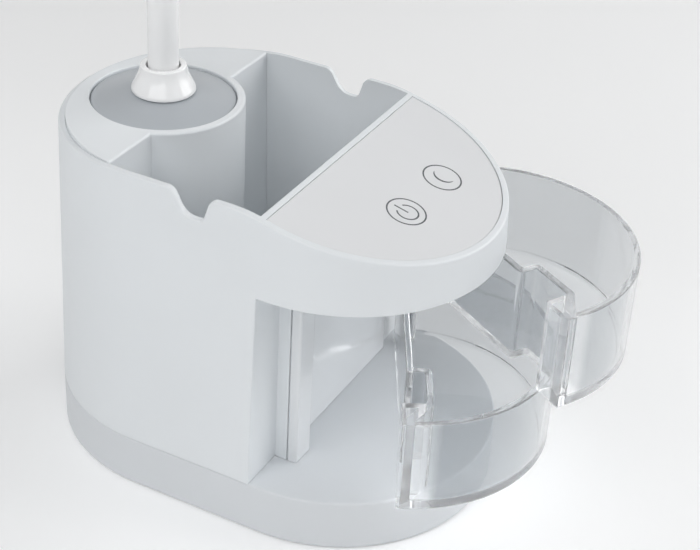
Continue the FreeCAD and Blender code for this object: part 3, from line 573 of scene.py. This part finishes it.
@dataclass(frozen=True)
class LightTable:
    """Milky sheet of a light table, lit from below, a little at its middle and more further out.

    Attributes:
        name: Name of the finish.
        colour: Linear colour.
        glow: Brightness from below at the middle.
        far_glow: Brightness from below where the softboxes don't reach.
        near: Radius within which it keeps its middle brightness, in metres.
        far: Radius at which it reaches its outer brightness, in metres.
        grain: Size of its grain, in metres.
        grain_depth: Depth of the grain, in metres.
        spread: Share by which the colour varies.
        roughness: Least and most roughness.
        mottle: Size of the patches of lighter and darker colour, in metres.
        sheen: Size of the patches of more and less gloss, in metres.
    """

    name: str
    colour: Colour
    glow: float
    far_glow: float = 0.74
    near: float = 0.6
    far: float = 2.2
    grain: float = 0.4 * MM
    grain_depth: float = 0.002 * MM
    spread: float = 0.004
    roughness: tuple[float, float] = (0.66, 0.74)
    mottle: float = 200 * MM
    sheen: float = 50 * MM

    def material(self) -> bpy.types.Material:
        """Build the shader.

        Returns:
            The material.
        """
        graph = Graph(self.name)
        radius = graph.add("ShaderNodeVectorMath", {0: graph.coordinates}, operation="LENGTH")
        glow = graph.span(radius.outputs["Value"], self.near, self.far, self.glow, self.far_glow,
                          interpolation_type="SMOOTHSTEP")
        return graph.surface({
            "Base Color": graph.tinted(graph.noise(self.mottle), self.colour, self.spread),
            "Roughness": graph.between(graph.noise(self.sheen), *self.roughness),
            "Normal": graph.relief(graph.noise(self.grain), self.grain_depth, 0),
            "Emission Color": (*self.colour, 1),
            "Emission Strength": glow,
        })


class Finish(Protocol):
    """What every finish offers."""

    name: str

    def material(self) -> bpy.types.Material:
        """Build the shader."""


def dress(finish: Finish, *nodes: str) -> None:
    """Give CAD nodes a finish.

    Args:
        finish: The finish.
        *nodes: Names of the nodes.
    """
    material = finish.material()
    for node in nodes:
        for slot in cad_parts[node].material_slots:
            slot.material = material
        LOG.info("%s: %s", node, finish.name)


def link(name: str, data: bpy.types.ID) -> bpy.types.Object:
    """Put a new object in the scene.

    Args:
        name: Name of the object.
        data: Its mesh, camera or light.

    Returns:
        The object.
    """
    made = bpy.data.objects.new(name, data)
    bpy.context.scene.collection.objects.link(made)
    return made


def facing(place: Place, aim: Place) -> Matrix:
    """Return the matrix of something that stands at a place and looks at an aim."""
    turn = (Vector(aim) - Vector(place)).to_track_quat("-Z", "Y")
    return Matrix.Translation(place) @ turn.to_matrix().to_4x4()


@dataclass
class Foot:
    """Plinth, bottom cover and what they hold.

    Attributes:
        plinth: Finish of the plinth.
        cover: Finish of the bottom cover.
        inlet: Finish of the power socket.
        pad: Finish of the anti-slip pad.
        ballast: Finish of the steel weight.
    """

    plinth: Moulded = Moulded("plinth plastic", (0.695, 0.72, 0.745))
    cover: Moulded = Moulded("bottom cover plastic", (0.695, 0.72, 0.745), roughness=0.55)
    inlet: Moulded = Moulded("inlet housing", (0.02, 0.02, 0.022), roughness=0.4)
    pad: Soft = Soft("grey foam rubber", (0.035, 0.036, 0.038))
    ballast: Metal = Metal("raw steel plate", (0.3, 0.31, 0.33), 0.42, (1.0, 0.1, 1.0))

    def dress(self) -> None:
        """Give the foot's solids their finishes."""
        dress(self.plinth, "base_tub")
        dress(self.cover, "bottom_cover")
        dress(self.inlet, "power_inlet")
        dress(self.pad, "anti_slip_pad")
        dress(self.ballast, "ballast_plate")


@dataclass
class Casing:
    """Shell, pocket and the walls of the drawer bay.

    Attributes:
        shell: Finish of the shell.
        liner: Finish of the pen pocket and the decks.
        bay: Finish of the bay's back panel and of the hinge post's cap.
        disc: Finish of the trim disc round the collar.
    """

    shell: Moulded = Moulded("shell plastic", (0.785, 0.815, 0.838))
    liner: Moulded = Moulded("pocket plastic", (0.80, 0.83, 0.853), roughness=0.42)
    bay: Moulded = Moulded("glossy bay plastic", (0.775, 0.795, 0.815), Texture.POLISHED, 0.14,
                           grain=3 * MM, grain_depth=0.003 * MM)
    disc: Moulded = Moulded("satin grey plastic", (0.43, 0.46, 0.49), roughness=0.34,
                            edge_round=0, grain=3 * MM, grain_depth=0.0002 * MM)

    def dress(self) -> None:
        """Give the casing's solids their finishes."""
        dress(self.shell, "body_shell")
        dress(self.liner, "pocket_liner")
        dress(self.bay, "bay_back_panel", "post_cap")
        dress(self.disc, "trim_disc")


@dataclass
class Drawers:
    """Two clear swing-out trays on one pin.

    Attributes:
        upper: Finish of the upper tray.
        lower: Finish of the lower tray.
        pin: Finish of the hinge pin.
        washer: Finish of the washers between the trays.
    """

    # Each tray's grip place sets where its painted highlight is laid.
    upper: Clear = Clear("clear styrene upper", (93 * MM, -4.5 * MM))
    lower: Clear = Clear("clear styrene lower", (63 * MM, -34.5 * MM))
    pin: Metal = Metal("turned steel pin", (0.6, 0.6, 0.61), 0.2)
    washer: Moulded = Moulded("nylon washer", (0.7, 0.7, 0.68), roughness=0.5)

    def dress(self) -> None:
        """Give the trays, their pin and its washers their finishes."""
        dress(self.upper, "upper_drawer")
        dress(self.lower, "lower_drawer")
        for tray in ("upper_drawer", "lower_drawer"):
            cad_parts[tray].visible_shadow = False  # thin clear walls let the light pass
        dress(self.pin, "hinge_pin")
        dress(self.washer, "hinge_washers")


@dataclass
class Lamp:
    """Stem, joint, head, boards and screws.

    Attributes:
        collar: Finish of the bell-shaped collar.
        paint: Finish of the tube and the fork.
        head: Finish of the head's housing.
        opal: Finish of the diffuser.
        carrier: Finish of the part inside the tower that holds the stem.
        board: Finish of the circuit boards.
        chip: Finish of the LEDs.
        washer: Finish of screws, nuts, washers and the tilt pin.
    """

    collar: Moulded = Moulded("gloss white collar", (0.93, 0.935, 0.94), Texture.POLISHED, 0.2,
                              grain=2 * MM, grain_depth=0.001 * MM)
    paint: Painted = Painted("satin white paint", (0.91, 0.915, 0.92))
    head: Moulded = Moulded("head plastic", (0.78, 0.79, 0.80))
    opal: Opal = Opal("opal diffuser", (0.86, 0.86, 0.83))
    carrier: Moulded = Moulded("stem carrier plastic", (0.03, 0.03, 0.032))
    board: Laminate = Laminate("circuit board", (0.02, 0.12, 0.06), (0.03, 0.2, 0.1))
    chip: Moulded = Moulded("lamp phosphor", (0.85, 0.7, 0.2), roughness=0.4)
    washer: Metal = Metal("plated steel", (0.55, 0.56, 0.58), 0.26)

    def dress(self) -> None:
        """Give the lamp's solids their finishes."""
        dress(self.collar, "stem_collar")
        dress(self.paint, "stem_tube", "stem_knuckle")
        dress(self.head, "head_housing")
        dress(self.opal, "head_diffuser")
        dress(self.carrier, "stem_carrier")
        dress(self.board, "led_board", "inlet_board", "touch_board")
        dress(self.chip, "leds")
        dress(self.washer, "stem_washer", "stem_nut", "head_hinge_pin", "head_washers",
              "bottom_cover_screws", "ballast_screws", "inlet_board_screws", "body_screws",
              "carrier_screws", "touch_board_screws", "head_screws")


@dataclass
class Stroke:
    """A printed line along a run of points, with a width at each.

    Attributes:
        points: Places on the panel, in metres from the symbol's middle.
        widths: Width of the line at each point, in metres.
        closed: Whether the last point joins the first.
    """

    points: list[tuple[float, float]]
    widths: list[float]
    closed: bool = False


@dataclass
class ControlPanel:
    """Sloping panel with a moon and a power symbol. Lengths are in metres.

    Attributes:
        plastic: Finish of the panel.
        pads: Finish of the foam pads under it.
        ink: Finish of the symbols.
        ring_radius: Middle radius of the ring round a symbol.
        line: Width of the printed lines.
        ink_height: Thickness of the ink.
        down_middle: Place of the symbols down the slope, from the panel's middle.
        moon_across: Place of the moon across the panel.
        power_across: Place of the power symbol across the panel.
        crescent_radius: Radius of the moon's arc.
        crescent_rise: Shift of that arc's centre across the panel.
        crescent_width: Width of the moon at its middle.
        crescent_middle: Angle of the middle of the moon's arc, in degrees.
        crescent_span: Half the angle of the moon's arc, in degrees.
        power_radius: Radius of the power symbol's broken ring.
        power_shift: Shift of that ring's centre down the slope.
        power_gap: Half the angle of its gap, in degrees.
        bar_start: End of the power symbol's bar, down the slope.
        bar_end: Its other end.
        thinnest: Least width of a line that thins out.
        fade: Power that sets how it thins out.
        crown: Width of a line's top as a share of its foot.
        steps: Points along an arc.
        upward: Least share of a sloping face's normal that points up.
        slope_axes: Place and tilt of the sloping face, with its normal last.
    """

    plastic: Moulded = Moulded("panel plastic", (0.745, 0.755, 0.77), roughness=0.36)
    pads: Soft = Soft("contact foam", (0.05, 0.05, 0.055))
    ink: Ink = Ink("grey ink", (0.07, 0.078, 0.088))
    ring_radius: float = 5.83 * MM
    line: float = 0.5 * MM
    ink_height: float = 0.03 * MM
    down_middle: float = 2.0 * MM
    moon_across: float = 13.6 * MM
    power_across: float = -9.9 * MM
    crescent_radius: float = 3.3 * MM
    crescent_rise: float = 1.67 * MM
    crescent_width: float = 0.72 * MM
    crescent_middle: float = -90.0
    crescent_span: float = 80.0
    power_radius: float = 3.2 * MM
    power_shift: float = 0.43 * MM
    power_gap: float = 32.0
    bar_start: float = -4.07 * MM
    bar_end: float = 0.6 * MM
    thinnest: float = 0.04 * MM
    fade: float = 0.7
    crown: float = 0.85
    steps: int = 72
    upward: float = 0.9
    slope_axes: Matrix = field(default_factory=lambda: Matrix.Identity(4))

    def dress(self) -> None:
        """Give the panel and its pads their finishes."""
        dress(self.plastic, "control_panel")
        dress(self.pads, "touch_pads")

    def find_slope(self) -> None:
        """Take the sloping face's place and tilt from the panel's mesh."""
        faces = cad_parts["control_panel"].data.polygons
        top = max((face for face in faces if face.normal.z > self.upward), key=lambda face: face.area)
        low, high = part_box("control_panel")
        middle = Vector(((low.x + high.x) / 2 + self.down_middle, 0, 0))
        middle.z = top.center.z - (top.normal.x * (middle.x - top.center.x)) / top.normal.z
        across = Vector((0, 1, 0))
        down = across.cross(top.normal).normalized()
        turn = Matrix((down, across, top.normal)).transposed().to_4x4()
        self.slope_axes = Matrix.Translation(middle) @ turn

    def arc(self, radius: float, start: float, end: float, shift: tuple[float, float] = (0, 0),
            width: float = 0.0, taper: bool = False) -> Stroke:
        """Lay out an arc or a ring.

        Args:
            radius: Middle radius.
            start: First angle, in degrees from straight down the slope.
            end: Last angle.
            shift: Place of its centre.
            width: Width of the line, or 0 for the plain line.
            taper: Whether it thins out to its ends.

        Returns:
            The stroke.
        """
        closed = end - start >= 360
        points = []
        widths = []
        for index in range(self.steps):
            share = index / (self.steps if closed else self.steps - 1)
            angle = math.radians(start + (end - start) * share)
            points.append((shift[0] + radius * math.cos(angle), shift[1] + radius * math.sin(angle)))
            fullness = math.sin(math.pi * share) ** self.fade if taper else 1.0
            widths.append(max((width or self.line) * fullness, self.thinnest))
        return Stroke(points, widths, closed)

    def print_strokes(self, name: str, strokes: list[Stroke], across: float) -> bpy.types.Object:
        """Print strokes on the slope as one thin piece.

        Args:
            name: Name of the piece.
            strokes: The lines of the symbol.
            across: Place of the symbol's middle across the panel.

        Returns:
            The piece.
        """
        mesh = bmesh.new()
        for stroke in strokes:
            self.add_stroke(mesh, stroke)
        place = self.slope_axes @ Matrix.Translation((0, across, 0))
        bmesh.ops.transform(mesh, matrix=place, verts=mesh.verts)
        bmesh.ops.recalc_face_normals(mesh, faces=mesh.faces)
        data = bpy.data.meshes.new(name)
        mesh.to_mesh(data)
        mesh.free()
        data.materials.append(bpy.data.materials.get(self.ink.name) or self.ink.material())
        piece = link(name, data)
        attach(piece, "base")
        LOG.info("%s: %s", name, self.ink.name)
        return piece

    def add_stroke(self, mesh: bmesh.types.BMesh, stroke: Stroke) -> None:
        """Add one stroke as a closed ribbon with its top a little narrower than its foot.

        Args:
            mesh: The symbol's mesh.
            stroke: The line to add.
        """
        count = len(stroke.points)
        section = ((1, 0), (self.crown, 1), (-self.crown, 1), (-1, 0))
        rows = []
        for index, (x, y) in enumerate(stroke.points):
            before = stroke.points[(index - 1) % count if stroke.closed else max(index - 1, 0)]
            after = stroke.points[(index + 1) % count if stroke.closed else min(index + 1, count - 1)]
            along = Vector((after[0] - before[0], after[1] - before[1])).normalized()
            side = Vector((-along.y, along.x)) * stroke.widths[index] / 2
            rows.append([mesh.verts.new((x + side.x * reach, y + side.y * reach, self.ink_height * height))
                         for reach, height in section])
        spans = count if stroke.closed else count - 1
        for index in range(spans):
            here, there = rows[index], rows[(index + 1) % count]
            for corner in range(len(section)):
                following = (corner + 1) % len(section)
                mesh.faces.new((here[corner], here[following], there[following], there[corner]))
        if not stroke.closed:
            mesh.faces.new(rows[0])
            mesh.faces.new(list(reversed(rows[-1])))

    def build(self) -> None:
        """Print the moon and the power symbol."""
        self.find_slope()
        ring = self.arc(self.ring_radius, 0, 360)
        first, last = self.crescent_middle - self.crescent_span, self.crescent_middle + self.crescent_span
        crescent = self.arc(self.crescent_radius, first, last, (0, self.crescent_rise),
                            self.crescent_width, taper=True)
        self.print_strokes("moon_symbol", [ring, crescent], self.moon_across)
        broken = self.arc(self.power_radius, -180 + self.power_gap, 180 - self.power_gap,
                          (self.power_shift, 0))
        bar = Stroke([(self.bar_start, 0), (self.bar_end, 0)], [self.line, self.line])
        self.print_strokes("power_symbol", [ring, broken, bar], self.power_across)


@dataclass(frozen=True)
class Softbox:
    """A large soft light.

    Attributes:
        name: Name of the light.
        place: Its middle, in metres.
        size: Width and height, in metres.
        power: Power in watts.
    """

    name: str
    place: Place
    size: tuple[float, float]
    power: float


@dataclass
class Studio:
    """Pale floor, soft lights and the camera.

    Attributes:
        eye: Camera's place, in metres.
        aim: Point that the camera looks at.
        roll: Turn of the camera about its own axis, in degrees.
        lens: Focal length, in millimetres.
        sensor: Width of the sensor, in millimetres.
        shift: Shift of the frame, as shares of its width.
        bounces: Most times that light turns inside the trays.
        nearest: Distance from which the camera sees, in metres.
        floor_size: Side of the floor, in metres.
        floor_gap: Distance of the floor under the foam pad.
        floor_colour: Linear colour of the floor.
        floor_glow: Light that comes through the floor from below.
        air_colour: Linear colour of the surroundings.
        air_seen: Brightness of the surroundings in reflections and through the trays.
        air_light: Brightness of the surroundings as they light matt faces.
        lit: Point that the softboxes face.
        softboxes: The lights.
    """

    eye: Place = (0.217186, -0.386436, 0.342009)
    aim: Place = (0.019098, 0.018840, 0.055)
    roll: float = 3.4906
    lens: float = 86.707
    sensor: float = 36.0
    shift: tuple[float, float] = (-0.01768, -0.00231)
    bounces: int = 32
    nearest: float = 10 * MM
    floor_size: float = 6.0
    floor_gap: float = 0.2 * MM
    floor_colour: Colour = (0.93, 0.935, 0.94)
    floor_glow: float = 0.12
    air_colour: Colour = (1.0, 1.0, 1.0)
    air_seen: float = 1.0
    air_light: float = 0.03
    lit: Place = (0.02, 0, 0.06)
    softboxes: tuple[Softbox, ...] = (
        Softbox("front softbox", (0.1, -0.75, 0.85), (1.3, 1.0), 7.7),
        Softbox("front left softbox", (-0.5, -0.6, 0.9), (1.0, 1.0), 0.9),
        Softbox("left softbox", (-0.75, -0.1, 0.85), (1.0, 1.0), 1.6),
        Softbox("right softbox", (0.8, 0.1, 0.8), (1.1, 1.0), 1.2),
        Softbox("back softbox", (-0.1, 0.8, 0.7), (1.0, 0.8), 0.6),
        Softbox("right back softbox", (0.8, 0.75, 0.6), (1.2, 0.9), 8.6),
    )

    def place_camera(self) -> None:
        """Set the camera."""
        data = bpy.data.cameras.new("camera")
        data.lens = self.lens
        data.sensor_width = self.sensor
        data.shift_x, data.shift_y = self.shift
        data.clip_start = self.nearest
        camera = link("camera", data)
        roll = Matrix.Rotation(math.radians(self.roll), 4, "Z")
        camera.matrix_world = facing(self.eye, self.aim) @ roll
        bpy.context.scene.camera = camera

    def lay_floor(self) -> None:
        """Lay the floor just under the part."""
        half, low = self.floor_size / 2, -self.floor_gap
        corners = [(-half, -half, low), (half, -half, low), (half, half, low), (-half, half, low)]
        data = bpy.data.meshes.new("floor")
        data.from_pydata(corners, [], [(0, 1, 2, 3)])
        data.materials.append(LightTable("pale floor", self.floor_colour, self.floor_glow).material())
        floor = link("floor", data)

    def hang(self, softbox: Softbox) -> None:
        """Hang a softbox that faces the part.

        Args:
            softbox: The light.
        """
        data = bpy.data.lights.new(softbox.name, "AREA")
        data.shape = "RECTANGLE"
        data.size, data.size_y = softbox.size
        data.energy = softbox.power
        light = link(softbox.name, data)
        light.matrix_world = facing(softbox.place, self.lit)

    def light(self) -> None:
        """Hang all softboxes."""
        for softbox in self.softboxes:
            self.hang(softbox)

    def surround(self) -> None:
        """Set pale surroundings that show in clear and glossy pieces but light matt ones little."""
        world = bpy.data.worlds.new("studio air")
        world.use_nodes = True
        tree = world.node_tree
        rays = tree.nodes.new("ShaderNodeLightPath")
        spread = tree.nodes.new("ShaderNodeMapRange")
        spread.inputs["To Min"].default_value = self.air_seen
        spread.inputs["To Max"].default_value = self.air_light
        tree.links.new(rays.outputs["Is Diffuse Ray"], spread.inputs["Value"])
        background = tree.nodes["Background"]
        background.inputs["Color"].default_value = (*self.air_colour, 1)
        tree.links.new(spread.outputs["Result"], background.inputs["Strength"])
        bpy.context.scene.world = world

    def trace_deeply(self) -> None:
        """Let light pass the many walls of the clear trays, and show tones without a film curve."""
        scene = bpy.context.scene
        scene.view_settings.view_transform = "Standard"
        scene.cycles.max_bounces = self.bounces
        scene.cycles.glossy_bounces = self.bounces
        scene.cycles.transmission_bounces = self.bounces


def main() -> None:
    """Build the lamp's looks in order."""
    logging.basicConfig(level=logging.INFO, format="%(message)s")
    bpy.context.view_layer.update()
    studio = Studio()
    studio.place_camera()
    studio.lay_floor()
    studio.light()
    studio.surround()
    studio.trace_deeply()
    Foot().dress()
    Casing().dress()
    Drawers().dress()
    Lamp().dress()
    panel = ControlPanel()
    panel.dress()
    panel.build()


if __name__ == "__main__":
    main()
